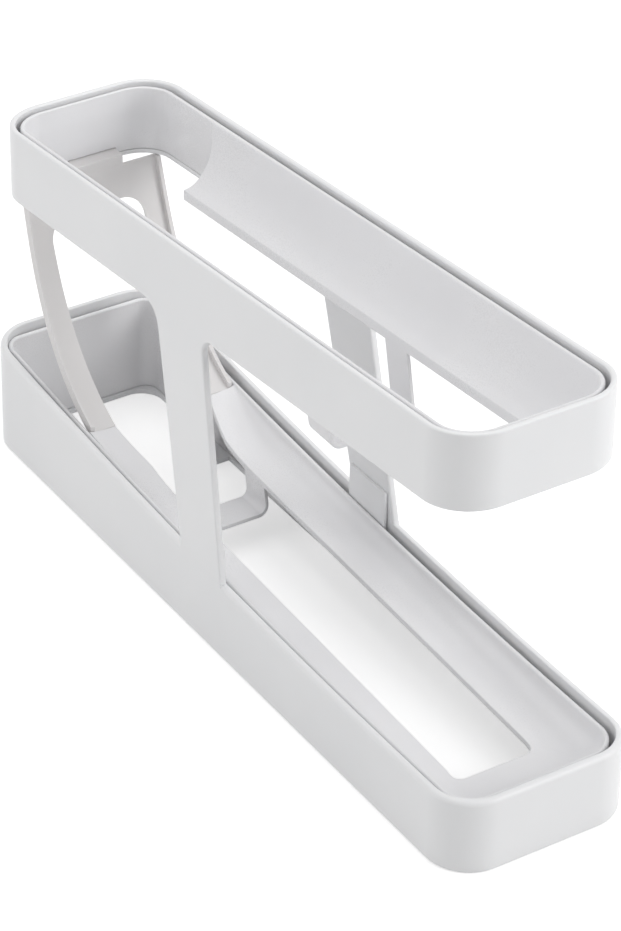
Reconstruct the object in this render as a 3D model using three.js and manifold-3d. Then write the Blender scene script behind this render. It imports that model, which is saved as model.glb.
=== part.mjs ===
// A two-tier gravity rack: an upper track that falls to the back, a curved chute, and a lower track that
// falls to the front. Both tracks are trays set into rounded bands, and two side posts carry the upper band.
// Millimetres. +Z is up, +X is the front end, and the origin is under the middle of the base.
import * as THREE from "three";
import { mergeVertices } from "three/addons/utils/BufferGeometryUtils.js";
import Module from "manifold-3d";

const wasm = await Module();
wasm.setup();

// Driving dimensions of the base band
const baseLength = 350;
const baseWidth = 83;
const baseCorner = 18.5;
const baseWall = 3;
const baseHeightBack = 49;
const baseHeightMiddle = 35;
const baseHeightFront = 33;

// Driving dimensions of the upper band
const tierBackInset = 7;
const tierFrontInset = 14;
const tierSideInset = 3;
const tierCorner = 20;
const tierWall = 2.4;
const tierBand = 32;
const overallHeight = 182;
const tierFall = 29;

// Driving dimensions of the posts
const postWidth = 33.5;
const postThickness = 3;
const postBackAtBand = 134.5;
const postLean = 20.5;
const postFillet = 8;

// Driving dimensions of the tracks and the chute
const slotWidth = 35;
const slotCorner = 4;
const trayWall = 1.6;
const trayLip = 1.9;
const upperGroove = 1.8;
const upperLipDrop = 1.5;
const upperFloorDepth = 27.5;
const upperSlotLip = 5;
const dropLength = 50;
const lowerGroove = 3;
const lowerLipDrop = 2.5;
const lowerFloorFront = 7;
const lowerFall = 20.5;
const lowerSlotLip = 3;
const entryDrop = 10;
const entryLength = 41;
const entryTaper = 20;
const chuteTopMargin = 4.6;
const chuteFootMargin = 4.5;
const chuteSlotWidth = 44;
const chuteThickness = 1.8;
const chuteLip = 2.4;
const chuteTopInset = 19;
const chuteFootInset = 75;
const chuteSlotTop = 12;

// Small sizes and fits
const clearance = 0.3;
const overrun = 5;
const rimEdge = 0.6;
const tierFlange = 4;
const baseFlange = 5;
const flangeThickness = 2;

// Steps of the round forms
const cornerSteps = 10;
const sideSteps = 12;
const hollowSteps = 9;

const baseBack = -baseLength / 2;
const baseFront = baseLength / 2;
const tierBack = baseBack + tierBackInset;
const tierFront = baseFront - tierFrontInset;
const tierWidth = baseWidth - 2 * tierSideInset;
const base = { back: baseBack, front: baseFront, width: baseWidth, corner: baseCorner };
const tier = { back: tierBack, front: tierFront, width: tierWidth, corner: tierCorner };

// Heights along the rack
function baseTop(x) {
  const t = (x - baseBack) / baseLength;
  const back = baseHeightBack * (1 - t) * (1 - 2 * t);
  const middle = baseHeightMiddle * 4 * t * (1 - t);
  const front = baseHeightFront * t * (2 * t - 1);
  return back + middle + front;
}

function tierTop(x) {
  return overallHeight - tierFall * (tierFront - x) / (tierFront - tierBack);
}

function tierFoot(x) {
  return tierTop(x) - tierBand;
}

// Solids and meshes
function solid(geometry) {
  const bare = new THREE.BufferGeometry();
  bare.setAttribute("position", geometry.getAttribute("position"));
  if (geometry.index) bare.setIndex(geometry.index);
  const merged = mergeVertices(bare);
  const vertProperties = new Float32Array(merged.getAttribute("position").array);
  const triVerts = new Uint32Array(merged.index.array);
  return new wasm.Manifold(new wasm.Mesh({ numProp: 3, vertProperties, triVerts }));
}

function part(name, shape, colour, roughness) {
  const { vertProperties, triVerts } = shape.getMesh();
  const geometry = new THREE.BufferGeometry();
  geometry.setAttribute("position", new THREE.BufferAttribute(vertProperties, 3));
  geometry.setIndex(new THREE.BufferAttribute(triVerts, 1));
  geometry.computeVertexNormals();
  const material = new THREE.MeshStandardMaterial({ color: colour, roughness, metalness: 0 });
  const mesh = new THREE.Mesh(geometry, material);
  mesh.name = name;
  return mesh;
}

function block(x0, x1, y0, y1, z0, z1) {
  const geometry = new THREE.BoxGeometry(x1 - x0, y1 - y0, z1 - z0);
  geometry.translate((x0 + x1) / 2, (y0 + y1) / 2, (z0 + z1) / 2);
  return solid(geometry);
}

// An outline in X and Z, given thickness across the rack from y0 to y1
function plate(shape, y0, y1, slant = new THREE.Matrix4()) {
  const geometry = extruded(shape, y1 - y0);
  geometry.rotateX(Math.PI / 2);
  geometry.translate(0, y1, 0);
  return solid(geometry.applyMatrix4(slant));
}

// An outline in Y and Z, given length along the rack from x0 to x1
function crossPlate(shape, x0, x1, slant = new THREE.Matrix4()) {
  const geometry = extruded(shape, x1 - x0);
  const turned = new THREE.Matrix4().makeBasis(
    new THREE.Vector3(0, 1, 0),
    new THREE.Vector3(0, 0, 1),
    new THREE.Vector3(1, 0, 0),
  );
  geometry.applyMatrix4(turned);
  geometry.translate(x0, 0, 0);
  return solid(geometry.applyMatrix4(slant));
}

// An outline in X and Y, given height from z0 to z1
function prism(shape, z0, z1) {
  const geometry = extruded(shape, z1 - z0);
  geometry.translate(0, 0, z0);
  return solid(geometry);
}

function extruded(shape, depth) {
  return new THREE.ExtrudeGeometry(shape, { depth, bevelEnabled: false, curveSegments: cornerSteps });
}

// Moves points along X or Y by the given grade below the height z0
function slantAlong(grade, z0) {
  return new THREE.Matrix4().set(1, 0, -grade, grade * z0, 0, 1, 0, 0, 0, 0, 1, 0, 0, 0, 0, 1);
}

function slantAcross(grade, z0) {
  return new THREE.Matrix4().set(1, 0, 0, 0, 0, 1, -grade, grade * z0, 0, 0, 1, 0, 0, 0, 0, 1);
}

// A station is a place on a rounded rectangle's outline, which gives its point at any inset
function cornerStation(ring, quarter, turn) {
  const signX = quarter === 0 || quarter === 3 ? 1 : -1;
  const signY = quarter < 2 ? 1 : -1;
  const angle = (quarter + turn) * Math.PI / 2;
  return (inset) => {
    const radius = Math.max(ring.corner - inset, slotCorner);
    const end = signX > 0 ? ring.front : ring.back;
    const x = end - signX * (inset + radius) + radius * Math.cos(angle);
    const y = signY * (ring.width / 2 - inset - radius) + radius * Math.sin(angle);
    return new THREE.Vector2(x, y);
  };
}

function cornerStations(ring, quarter) {
  const stations = [];
  for (let k = 0; k <= cornerSteps; k++) stations.push(cornerStation(ring, quarter, k / cornerSteps));
  return stations;
}

function sideStations(ring, sign, shares) {
  const rear = ring.back + ring.corner;
  const fore = ring.front - ring.corner;
  return shares.map((share) => {
    const x = rear + (fore - rear) * share;
    return (inset) => new THREE.Vector2(x, sign * (ring.width / 2 - inset));
  });
}

// All round, counter-clockwise from the front end
function ringStations(ring) {
  const shares = [];
  for (let k = 1; k < sideSteps; k++) shares.push(k / sideSteps);
  return [
    ...cornerStations(ring, 0),
    ...sideStations(ring, 1, shares.toReversed()),
    ...cornerStations(ring, 1),
    ...cornerStations(ring, 2),
    ...sideStations(ring, -1, shares),
    ...cornerStations(ring, 3),
  ];
}

// Along one side, round the front end and back along the other side, closer together at the open back
function troughStations(ring) {
  const shares = [];
  for (let k = 0; k < sideSteps; k++) shares.push((k / sideSteps) ** 2);
  const open = { ...ring, back: ring.back - ring.corner };
  return [
    ...sideStations(open, -1, shares),
    ...cornerStations(ring, 3),
    ...cornerStations(ring, 0),
    ...sideStations(open, 1, shares.toReversed()),
  ];
}

// Closes an open end that faces the back
function backCap(section, first) {
  const flat = section.map((point) => new THREE.Vector2(point.y, point.z));
  const faces = [];
  for (const [a, b, c] of THREE.ShapeUtils.triangulateShape(flat, [])) {
    const facesBack = THREE.ShapeUtils.area([flat[a], flat[b], flat[c]]) < 0;
    faces.push(first + a, first + (facesBack ? b : c), first + (facesBack ? c : b));
  }
  return faces;
}

// Carries a closed profile of [inset, height] pairs along the stations
function sweep(stations, profileAt, closed) {
  const sections = stations.map((station) => profileAt(station(0).x).map(([inset, height]) => {
    const point = station(inset);
    return new THREE.Vector3(point.x, point.y, height(point.x));
  }));
  const count = sections[0].length;
  const positions = sections.flat().flatMap((point) => point.toArray());
  const faces = [];
  const spans = closed ? sections.length : sections.length - 1;
  for (let i = 0; i < spans; i++) {
    const here = i * count;
    const next = ((i + 1) % sections.length) * count;
    for (let k = 0; k < count; k++) {
      const after = (k + 1) % count;
      faces.push(here + k, next + k, next + after, here + k, next + after, here + after);
    }
  }
  if (!closed) {
    faces.push(...backCap(sections[0], 0));
    faces.push(...backCap(sections.at(-1), (sections.length - 1) * count));
  }
  const geometry = new THREE.BufferGeometry();
  geometry.setAttribute("position", new THREE.Float32BufferAttribute(positions, 3));
  geometry.setIndex(faces);
  return solid(geometry);
}

// The L-shaped wall of a band: a rounded rim above, and a flange round its foot
function bandProfile(top, foot, wall, flange) {
  const raised = (x) => top(x) - rimEdge;
  const shelf = (x) => foot(x) + flangeThickness;
  return [
    [rimEdge, foot],
    [0, (x) => foot(x) + rimEdge],
    [0, raised],
    [rimEdge, top],
    [wall - rimEdge, top],
    [wall, raised],
    [wall, shelf],
    [wall + flange, shelf],
    [wall + flange, foot],
  ];
}

// A tray's wall: a skirt outside, a lip on top, a hollow rail inside and a thin edge down into the slot
function trayProfile(lip, floor, foot, slotInset, slotLip) {
  const hollow = slotInset - trayLip;
  const shell = hollow + trayWall;
  const inner = (angle) => [
    slotInset - hollow * Math.cos(angle),
    (x) => lip(x) - (lip(x) - floor(x)) * Math.sin(angle),
  ];
  const under = (angle) => [
    slotInset - shell * Math.cos(angle),
    (x) => lip(x) - (lip(x) - floor(x) + trayWall) * Math.sin(angle),
  ];
  const nearSlot = Math.acos(trayWall / shell);
  const nearSkirt = Math.acos((slotInset - trayWall) / shell);
  const profile = [
    [0, foot],
    [0, (x) => lip(x) - rimEdge],
    [rimEdge, lip],
    [trayLip - rimEdge / 2, lip],
  ];
  for (let k = 1; k <= hollowSteps; k++) profile.push(inner(Math.PI / 2 * k / hollowSteps));
  profile.push([slotInset, (x) => floor(x) - slotLip]);
  profile.push([slotInset - trayWall, (x) => floor(x) - slotLip]);
  for (let k = 0; k <= hollowSteps; k++) {
    profile.push(under(nearSlot + (nearSkirt - nearSlot) * k / hollowSteps));
  }
  profile.push([trayWall, foot]);
  return profile;
}

// A saddle hung under a slot, which ties the two rails together
const tieLength = 15;
const tieCorner = 5;
const tieGradeShare = 0.22;
const upperTieInset = 215.5;
const upperTieDepth = 32;
const lowerTieInset = 118;
const lowerTieDepth = 15;

function saddle(x, floor, depth, slotLip) {
  const top = floor(x) - slotLip / 2;
  const bottom = floor(x) - depth;
  const outer = slotWidth / 2 + trayWall;
  const inner = slotWidth / 2;
  const shape = new THREE.Shape();
  shape.moveTo(-outer, top);
  shape.lineTo(-outer, bottom + tieCorner);
  shape.quadraticCurveTo(-outer, bottom, -outer + tieCorner, bottom);
  shape.lineTo(outer - tieCorner, bottom);
  shape.quadraticCurveTo(outer, bottom, outer, bottom + tieCorner);
  shape.lineTo(outer, top);
  shape.lineTo(inner, top);
  shape.lineTo(inner, bottom + tieCorner);
  shape.quadraticCurveTo(inner, bottom + trayWall, inner - tieCorner + trayWall, bottom + trayWall);
  shape.lineTo(-inner + tieCorner - trayWall, bottom + trayWall);
  shape.quadraticCurveTo(-inner, bottom + trayWall, -inner, bottom + tieCorner);
  shape.lineTo(-inner, top);
  shape.closePath();
  return crossPlate(shape, x - tieLength / 2, x + tieLength / 2, slantAlong(tieGradeShare, top));
}

// Upright ribs on a band's inner wall keep its tray centred
const ribThickness = 1.6;
const ribHeight = 14;
const ribShares = [0.14, 0.34, 0.66, 0.86];

function centringRibs(ring, wall, groove, foot) {
  const reach = wall + groove - clearance;
  const ribs = [];
  for (const share of ribShares) {
    const x = ring.back + (ring.front - ring.back) * share;
    const z = foot(x) + flangeThickness / 2;
    for (const side of [-1, 1]) {
      const outside = side * (ring.width / 2 - wall / 2);
      const inside = side * (ring.width / 2 - reach);
      const [y0, y1] = side < 0 ? [outside, inside] : [inside, outside];
      ribs.push(block(x - ribThickness / 2, x + ribThickness / 2, y0, y1, z, z + ribHeight));
    }
  }
  return ribs;
}

function joined(first, others) {
  return others.reduce((sum, other) => sum.add(other), first);
}

// Post feet: a tongue below each post slips behind the base's wall and snaps in
const tongueWidth = 25.5;
const tongueThickness = 2.2;
const tonguePad = 11;
const tongueGap = 4;
const catchRadius = 1.1;
const catchLength = 12;
const catchHeight = 14;
const pocketHeight = 22;

const postBack = baseBack + postBackAtBand;
const postFootMiddle = postBack + postLean + postWidth / 2;
const tongueOuter = baseWidth / 2 - baseWall - clearance;

function along(from, to, distance) {
  return from.clone().lerp(to, distance / from.distanceTo(to));
}

function postOutline() {
  const topBack = new THREE.Vector2(postBack, tierFoot(postBack));
  const topFront = new THREE.Vector2(postBack + postWidth, tierFoot(postBack + postWidth));
  const seat = (x) => baseTop(x) + clearance;
  const footBack = new THREE.Vector2(postBack + postLean, seat(postBack + postLean));
  const footFront = new THREE.Vector2(footBack.x + postWidth, seat(footBack.x + postWidth));
  const buried = tierBand / 4;
  const backCurve = along(topBack, footBack, postFillet);
  const frontCurve = along(topFront, footFront, postFillet);
  const shape = new THREE.Shape();
  shape.moveTo(topBack.x - postFillet, tierFoot(topBack.x - postFillet) + buried);
  shape.lineTo(topBack.x - postFillet, tierFoot(topBack.x - postFillet));
  shape.quadraticCurveTo(topBack.x, topBack.y, backCurve.x, backCurve.y);
  for (let k = 0; k <= hollowSteps; k++) {
    const x = footBack.x + postWidth * k / hollowSteps;
    shape.lineTo(x, seat(x));
  }
  shape.lineTo(frontCurve.x, frontCurve.y);
  shape.quadraticCurveTo(topFront.x, topFront.y, topFront.x + postFillet, tierFoot(topFront.x + postFillet));
  shape.lineTo(topFront.x + postFillet, tierFoot(topFront.x + postFillet) + buried);
  shape.closePath();
  return shape;
}

function across(side, inner, outer) {
  return side < 0 ? [-outer, -inner] : [inner, outer];
}

function catchRod(side, radius, length) {
  const rod = new THREE.CylinderGeometry(radius, radius, length, cornerSteps);
  rod.rotateZ(Math.PI / 2);
  rod.translate(postFootMiddle, side * (tongueOuter - catchRadius / 4), catchHeight);
  return solid(rod);
}

function post(side) {
  const joint = tierFoot(postBack);
  const foot = baseTop(postFootMiddle);
  const grade = side * (baseWidth - tierWidth) / 2 / (joint - foot);
  const panel = plate(
    postOutline(),
    ...across(side, tierWidth / 2 - postThickness, tierWidth / 2),
    slantAcross(grade, joint),
  );
  const left = postFootMiddle - tongueWidth / 2;
  const right = postFootMiddle + tongueWidth / 2;
  const padFoot = baseTop(left) + clearance;
  const inner = tongueOuter - tongueThickness;
  const tongue = block(left, right, ...across(side, inner, tongueOuter), tongueGap, padFoot + tonguePad);
  const padOuter = baseWidth / 2 - postThickness / 2;
  const pad = block(left, right, ...across(side, inner, padOuter), padFoot, padFoot + tonguePad);
  return joined(panel, [tongue, pad, catchRod(side, catchRadius, catchLength)]);
}

function upperFrame() {
  const band = sweep(ringStations(tier), () => bandProfile(tierTop, tierFoot, tierWall, tierFlange), true);
  const ribs = centringRibs(tier, tierWall, upperGroove, tierFoot);
  return joined(band, [...ribs, post(-1), post(1)]);
}

// The upper track
const tray = {
  back: tierBack + tierWall + upperGroove,
  front: tierFront - tierWall - upperGroove,
  width: tierWidth - 2 * (tierWall + upperGroove),
  corner: tierCorner - tierWall - upperGroove,
};
const hookWidth = 30;
const hookThickness = 2.2;
const hookSeat = tierFoot(tierBack + tierWall + tierFlange) + flangeThickness + clearance;

function upperFloor(x) {
  return tierTop(x) - upperFloorDepth;
}

// The rounded opening at the back, where the floor stops short
function dropOpening() {
  const x0 = tray.back + trayLip;
  const x1 = x0 + dropLength;
  const y = tray.width / 2 - trayLip;
  const round = tray.corner - trayLip;
  const shape = new THREE.Shape();
  shape.moveTo(x0 + round, -y);
  shape.lineTo(x1 - slotCorner, -y);
  shape.absarc(x1 - slotCorner, -y + slotCorner, slotCorner, -Math.PI / 2, 0, false);
  shape.absarc(x1 - slotCorner, y - slotCorner, slotCorner, 0, Math.PI / 2, false);
  shape.absarc(x0 + round, y - round, round, Math.PI / 2, Math.PI, false);
  shape.absarc(x0 + round, -y + round, round, Math.PI, Math.PI * 1.5, false);
  return prism(shape, tierFoot(tierBack) - overrun, overallHeight + overrun);
}

function upperTrack() {
  const lip = (x) => tierTop(x) - upperLipDrop;
  const foot = (x) => tierFoot(x) + flangeThickness + clearance;
  const slotInset = (tray.width - slotWidth) / 2;
  const profile = trayProfile(lip, upperFloor, foot, slotInset, upperSlotLip);
  const shell = sweep(ringStations(tray), () => profile, true);
  const tie = saddle(baseBack + upperTieInset, upperFloor, upperTieDepth, upperSlotLip);
  const half = hookWidth / 2 + clearance;
  const hookRoom = block(
    tray.back - overrun,
    tray.back + overrun,
    -half,
    half,
    tierFoot(tierBack) - overrun,
    hookSeat + hookThickness + clearance,
  );
  return shell.add(tie).subtract(dropOpening()).subtract(hookRoom);
}

// The lower track
const trough = {
  back: baseBack + chuteFootInset + clearance,
  front: baseFront - baseWall - lowerGroove,
  width: baseWidth - 2 * (baseWall + lowerGroove),
  corner: baseCorner - baseWall - lowerGroove,
};

function lowerFloor(x) {
  const grade = lowerFall * (trough.front - x) / (trough.front - trough.back);
  const entry = Math.max(0, 1 - (x - trough.back) / entryLength);
  return lowerFloorFront + grade + entryDrop * entry * entry;
}

function lowerTrack() {
  const lip = (x) => baseTop(x) - lowerLipDrop;
  const foot = () => flangeThickness + clearance;
  const slotInset = (x) => {
    const entry = Math.max(0, 1 - (x - trough.back) / entryTaper);
    return (trough.width - slotWidth - (chuteSlotWidth - slotWidth) * entry) / 2;
  };
  const profileAt = (x) => trayProfile(lip, lowerFloor, foot, slotInset(x), lowerSlotLip);
  const shell = sweep(troughStations(trough), profileAt, false);
  return shell.add(saddle(baseBack + lowerTieInset, lowerFloor, lowerTieDepth, lowerSlotLip));
}

// The chute, from the upper band's back end down to the lower track
const chuteBendShares = { topRun: 0.13, topDrop: 0.29, footRun: 0.71, footDrop: 0.23 };
const chuteEdge = 1.6;
const chuteTopWidth = tierWidth - 2 * (tierWall + chuteTopMargin);
const chuteFootWidth = baseWidth - 2 * (baseWall + chuteFootMargin);
const legThickness = 2;
const legMargin = 0.5;
const legOuter = chuteSlotWidth / 2 + legMargin + legThickness;
const legBackInset = 57;
const legFrontInset = 73;
const pegWidth = 8;
const pegThickness = 1.2;
const chuteSteps = 20;

function chuteTop() {
  const x = baseBack + chuteTopInset;
  return new THREE.Vector2(x, tierFoot(x) - clearance);
}

function chuteCurve() {
  const top = chuteTop();
  const foot = new THREE.Vector2(baseBack + chuteFootInset, lowerFloor(trough.back));
  const run = foot.x - top.x;
  const drop = top.y - foot.y;
  const { topRun, topDrop, footRun, footDrop } = chuteBendShares;
  return new THREE.CubicBezierCurve(
    top,
    new THREE.Vector2(top.x + run * topRun, top.y - drop * topDrop),
    new THREE.Vector2(foot.x - run * footRun, foot.y + drop * footDrop),
    foot,
  );
}

// The curve moved square to itself: positive is towards the load side
function besideChute(distance) {
  const curve = chuteCurve();
  const points = [];
  for (let k = 0; k <= chuteSteps; k++) {
    const tangent = curve.getTangent(k / chuteSteps);
    const normal = new THREE.Vector2(-tangent.y, tangent.x);
    points.push(curve.getPoint(k / chuteSteps).addScaledVector(normal, distance));
  }
  return points;
}

function chuteStrip(inner, outer) {
  return new THREE.Shape([...besideChute(inner), ...besideChute(outer).reverse()]);
}

function chuteHook() {
  const x1 = baseBack + chuteTopInset;
  const x0 = x1 - chuteThickness;
  const low = chuteTop().y - chuteThickness;
  const half = hookWidth / 2;
  const neck = block(x0, x1, -half, half, low, hookSeat + hookThickness);
  const tipX = tierBack + tierWall + clearance;
  const hook = block(tipX, x1, -half, half, hookSeat, hookSeat + hookThickness);
  return neck.add(hook);
}

function chuteLeg(side) {
  const x0 = baseBack + legBackInset;
  const x1 = baseBack + legFrontInset;
  const under = besideChute(-chuteThickness / 2).filter((point) => point.x > x0 && point.x < x1);
  const foot = flangeThickness + clearance;
  const outline = new THREE.Shape([
    new THREE.Vector2(under[0].x, foot),
    new THREE.Vector2(under.at(-1).x, foot),
    ...under.reverse(),
  ]);
  const leg = plate(outline, ...across(side, legOuter - legThickness, legOuter));
  const middle = (x0 + x1) / 2;
  const pegOuter = legOuter - (legThickness - pegThickness) / 2;
  const peg = block(
    middle - pegWidth / 2,
    middle + pegWidth / 2,
    ...across(side, pegOuter - pegThickness, pegOuter),
    clearance,
    foot + pegThickness,
  );
  return leg.add(peg);
}

// Half of the strip with its raised edge, which spreads towards the foot
function chuteHalf(side) {
  const half = chuteTopWidth / 2;
  const top = chuteTop().y;
  const drop = top - lowerFloor(trough.back);
  const spread = slantAcross(side * (chuteFootWidth - chuteTopWidth) / 2 / drop, top);
  const floor = plate(chuteStrip(-chuteThickness, 0), ...across(side, -overrun, half), spread);
  const edge = plate(chuteStrip(-chuteThickness, chuteLip), ...across(side, half - chuteEdge, half), spread);
  return floor.add(edge);
}

// What the upper band takes up above the strip
function bandRoom() {
  const seat = (x) => tierFoot(x) - clearance;
  const above = tierBand / 2;
  const shape = new THREE.Shape();
  shape.moveTo(baseBack, seat(baseBack));
  shape.lineTo(trough.back, seat(trough.back));
  shape.lineTo(trough.back, seat(trough.back) + above);
  shape.lineTo(baseBack, seat(baseBack) + above);
  shape.closePath();
  return plate(shape, -chuteFootWidth / 2, chuteFootWidth / 2);
}

function rearChute() {
  const half = chuteFootWidth / 2;
  const slot = block(
    baseBack,
    trough.back + overrun,
    -chuteSlotWidth / 2,
    chuteSlotWidth / 2,
    flangeThickness,
    tierFoot(baseBack) - chuteSlotTop,
  );
  const trackRoom = block(trough.back - clearance, trough.back + overrun, -half, half, 0, baseHeightBack);
  const strip = chuteHalf(-1).add(chuteHalf(1));
  const body = strip.subtract(slot).subtract(trackRoom).subtract(bandRoom());
  return joined(body, [chuteHook(), chuteLeg(-1), chuteLeg(1)]);
}

// The base band, with a pocket for each post and a slotted tab for each leg
function postPocket(side) {
  const wall = baseWidth / 2 - baseWall / 2;
  const reach = tongueOuter - tongueThickness;
  const ribs = [];
  for (const end of [-1, 1]) {
    const x = postFootMiddle + end * (tongueWidth / 2 + clearance + ribThickness / 2);
    ribs.push(block(
      x - ribThickness / 2,
      x + ribThickness / 2,
      ...across(side, reach, wall),
      flangeThickness / 2,
      flangeThickness + pocketHeight,
    ));
  }
  return ribs;
}

function legTab(side) {
  const outer = baseWidth / 2 - baseWall - baseFlange / 2;
  const inner = legOuter - 2 * legThickness;
  const x0 = baseBack + legBackInset;
  const x1 = baseBack + legFrontInset;
  return block(x0, x1, ...across(side, inner, outer), 0, flangeThickness);
}

function pegSlot(side) {
  const middle = baseBack + (legBackInset + legFrontInset) / 2;
  const pegOuter = legOuter - (legThickness - pegThickness) / 2;
  const half = pegWidth / 2 + clearance;
  const reach = across(side, pegOuter - pegThickness - clearance, pegOuter + clearance);
  return block(middle - half, middle + half, ...reach, -overrun, flangeThickness + overrun);
}

function baseRing() {
  const ground = () => 0;
  const band = sweep(ringStations(base), () => bandProfile(baseTop, ground, baseWall, baseFlange), true);
  const added = [
    ...centringRibs(base, baseWall, lowerGroove, ground),
    ...[-1, 1].flatMap(postPocket),
    ...[-1, 1].map(legTab),
  ];
  const cuts = [
    ...[-1, 1].map(pegSlot),
    ...[-1, 1].map((side) => catchRod(side, catchRadius + clearance, catchLength + 2 * clearance)),
  ];
  return cuts.reduce((rest, cut) => rest.subtract(cut), joined(band, added));
}

const rack = new THREE.Group();
rack.add(
  part("base_ring", baseRing(), 0xd9dada, 0.5),
  part("upper_frame", upperFrame(), 0xdcdcdf, 0.5),
  part("upper_track", upperTrack(), 0xd8d7dc, 0.5),
  part("rear_chute", rearChute(), 0xd6d2d2, 0.5),
  part("lower_track", lowerTrack(), 0xd9d8d9, 0.5),
);

export default rack;
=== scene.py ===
import bpy
import bmesh
import math
from mathutils import Matrix, Vector


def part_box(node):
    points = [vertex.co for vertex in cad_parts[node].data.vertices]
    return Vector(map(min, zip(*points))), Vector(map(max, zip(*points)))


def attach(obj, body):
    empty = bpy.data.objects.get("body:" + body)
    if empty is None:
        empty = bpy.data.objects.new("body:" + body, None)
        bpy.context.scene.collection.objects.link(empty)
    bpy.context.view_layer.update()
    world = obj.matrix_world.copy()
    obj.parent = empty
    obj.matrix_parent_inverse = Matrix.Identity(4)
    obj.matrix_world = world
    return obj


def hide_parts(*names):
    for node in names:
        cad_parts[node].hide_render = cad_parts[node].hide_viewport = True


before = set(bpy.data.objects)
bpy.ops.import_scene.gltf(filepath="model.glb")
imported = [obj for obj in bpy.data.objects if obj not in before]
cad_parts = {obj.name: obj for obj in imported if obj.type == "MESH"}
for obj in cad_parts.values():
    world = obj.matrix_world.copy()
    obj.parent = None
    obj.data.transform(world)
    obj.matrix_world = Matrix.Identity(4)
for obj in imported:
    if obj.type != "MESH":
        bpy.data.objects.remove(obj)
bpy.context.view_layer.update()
print("frame loaded:", ", ".join(sorted(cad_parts)))

mm = 0.001  # meshes are modelled in millimetres and made metres when they are finished
tiny = 0.001  # slack when places are compared
weld = 0.0001  # points closer than this are one
parallel = 1 - tiny * tiny  # cosine from which two directions are the same
overrun = 1  # how far a cutting tool reaches past what it cuts
cutMargin = 6  # how far the cuts across a band stay from its round corners
smoothAngle = 34  # degrees, below which an edge is shaded smooth

baseLow, baseHigh = (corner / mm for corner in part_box("base_ring"))
tierLow, tierHigh = (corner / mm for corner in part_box("upper_frame"))
fit = 0.3  # room between pieces


# camera, at the photograph's viewing angle
cameraView = {
    "eye": (1045.1493, -677.35853, 906.75014),  # millimetres
    "yaw": 2.561401558,  # radians from +X
    "pitch": 0.592610053,  # radians below the horizon
    "roll": 0.021087706,
    "lens": 149.896,
    "sensor": 36,
    "clipEnd": 20,  # metres
}


def makeCamera():
    yaw, pitch, roll = cameraView["yaw"], cameraView["pitch"], cameraView["roll"]
    look = Vector((math.cos(pitch) * math.cos(yaw), math.cos(pitch) * math.sin(yaw), -math.sin(pitch)))
    level = look.cross(Vector((0, 0, 1))).normalized()
    upright = level.cross(look)
    right = level * math.cos(roll) + upright * math.sin(roll)
    up = upright * math.cos(roll) - level * math.sin(roll)
    data = bpy.data.cameras.new("photoCamera")
    data.lens = cameraView["lens"]
    data.sensor_width = cameraView["sensor"]
    data.clip_end = cameraView["clipEnd"]
    camera = bpy.data.objects.new("photoCamera", data)
    bpy.context.scene.collection.objects.link(camera)
    turn = Matrix((right, up, -look)).transposed().to_4x4()
    camera.matrix_world = Matrix.Translation(Vector(cameraView["eye"]) * mm) @ turn
    bpy.context.scene.camera = camera


makeCamera()
print("camera placed")


# the two bands, the posts and the heights along the rack
baseBand = {
    "back": baseLow.x,
    "front": baseHigh.x,
    "width": baseHigh.y - baseLow.y,
    "corner": 18.5,
    "leastCorner": 4,
    "cornerSteps": 16,
    "wall": 3,
    "flange": 5,
    "flangeThickness": 2,
    "groove": 2.2,
    "heightBack": baseHigh.z,
    "heightMiddle": 35,
    "heightFront": 33,
    "topCuts": 24,
    "edgeRound": 2.2,
    "edgeSteps": 6,
    "footRound": 1.5,
    "footSteps": 5,
    "innerRound": 0.5,
    "innerSteps": 3,
    "postClear": 3,  # no cut for the top's curve lies closer than this to a post's foot
    "runOut": 0.3,  # under a post the rim's round edge ends within this length
}
tierBand = {
    "back": tierLow.x,
    "front": tierHigh.x,
    "width": 77,
    "corner": 20,
    "leastCorner": 4,
    "cornerSteps": 16,
    "wall": 2.4,
    "flange": 4,
    "flangeThickness": 2,
    "groove": 1.8,
    "height": 32,
    "top": tierHigh.z,
    "fall": 29,
    "edgeRound": 0.9,
}
sidePost = {
    "width": 33.5,
    "thickness": 3,
    "backAtBand": baseLow.x + 134.5,
    "lean": 20.5,
    "footNarrowing": 3.6,  # the back edge leans more than the front edge
    "fillet": 8,
    "filletSteps": 8,
    "columns": 6,
    "seatGap": 0.02,
    "squareFoot": 1,  # the height at the foot that keeps square edges
    "splayFrom": 1,  # how far below the fillet the post starts to lean out
    "roundFrom": 2.5,  # how far below the band the inner edges start to be rounded
}
rib = {"placeShares": (0.14, 0.34, 0.66, 0.86), "thickness": 1.6, "height": 14, "edgeRound": 0.3}


def baseTop(x):
    # a curve through the heights at the back, in the middle and at the front
    share = (x - baseBand["back"]) / (baseBand["front"] - baseBand["back"])
    back = baseBand["heightBack"] * (1 - share) * (1 - 2 * share)
    middle = baseBand["heightMiddle"] * 4 * share * (1 - share)
    front = baseBand["heightFront"] * share * (2 * share - 1)
    return back + middle + front


tierGrade = tierBand["fall"] / (tierBand["front"] - tierBand["back"])


def tierTop(x):
    return tierBand["top"] - tierGrade * (tierBand["front"] - x)


def tierFoot(x):
    return tierTop(x) - tierBand["height"]


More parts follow.
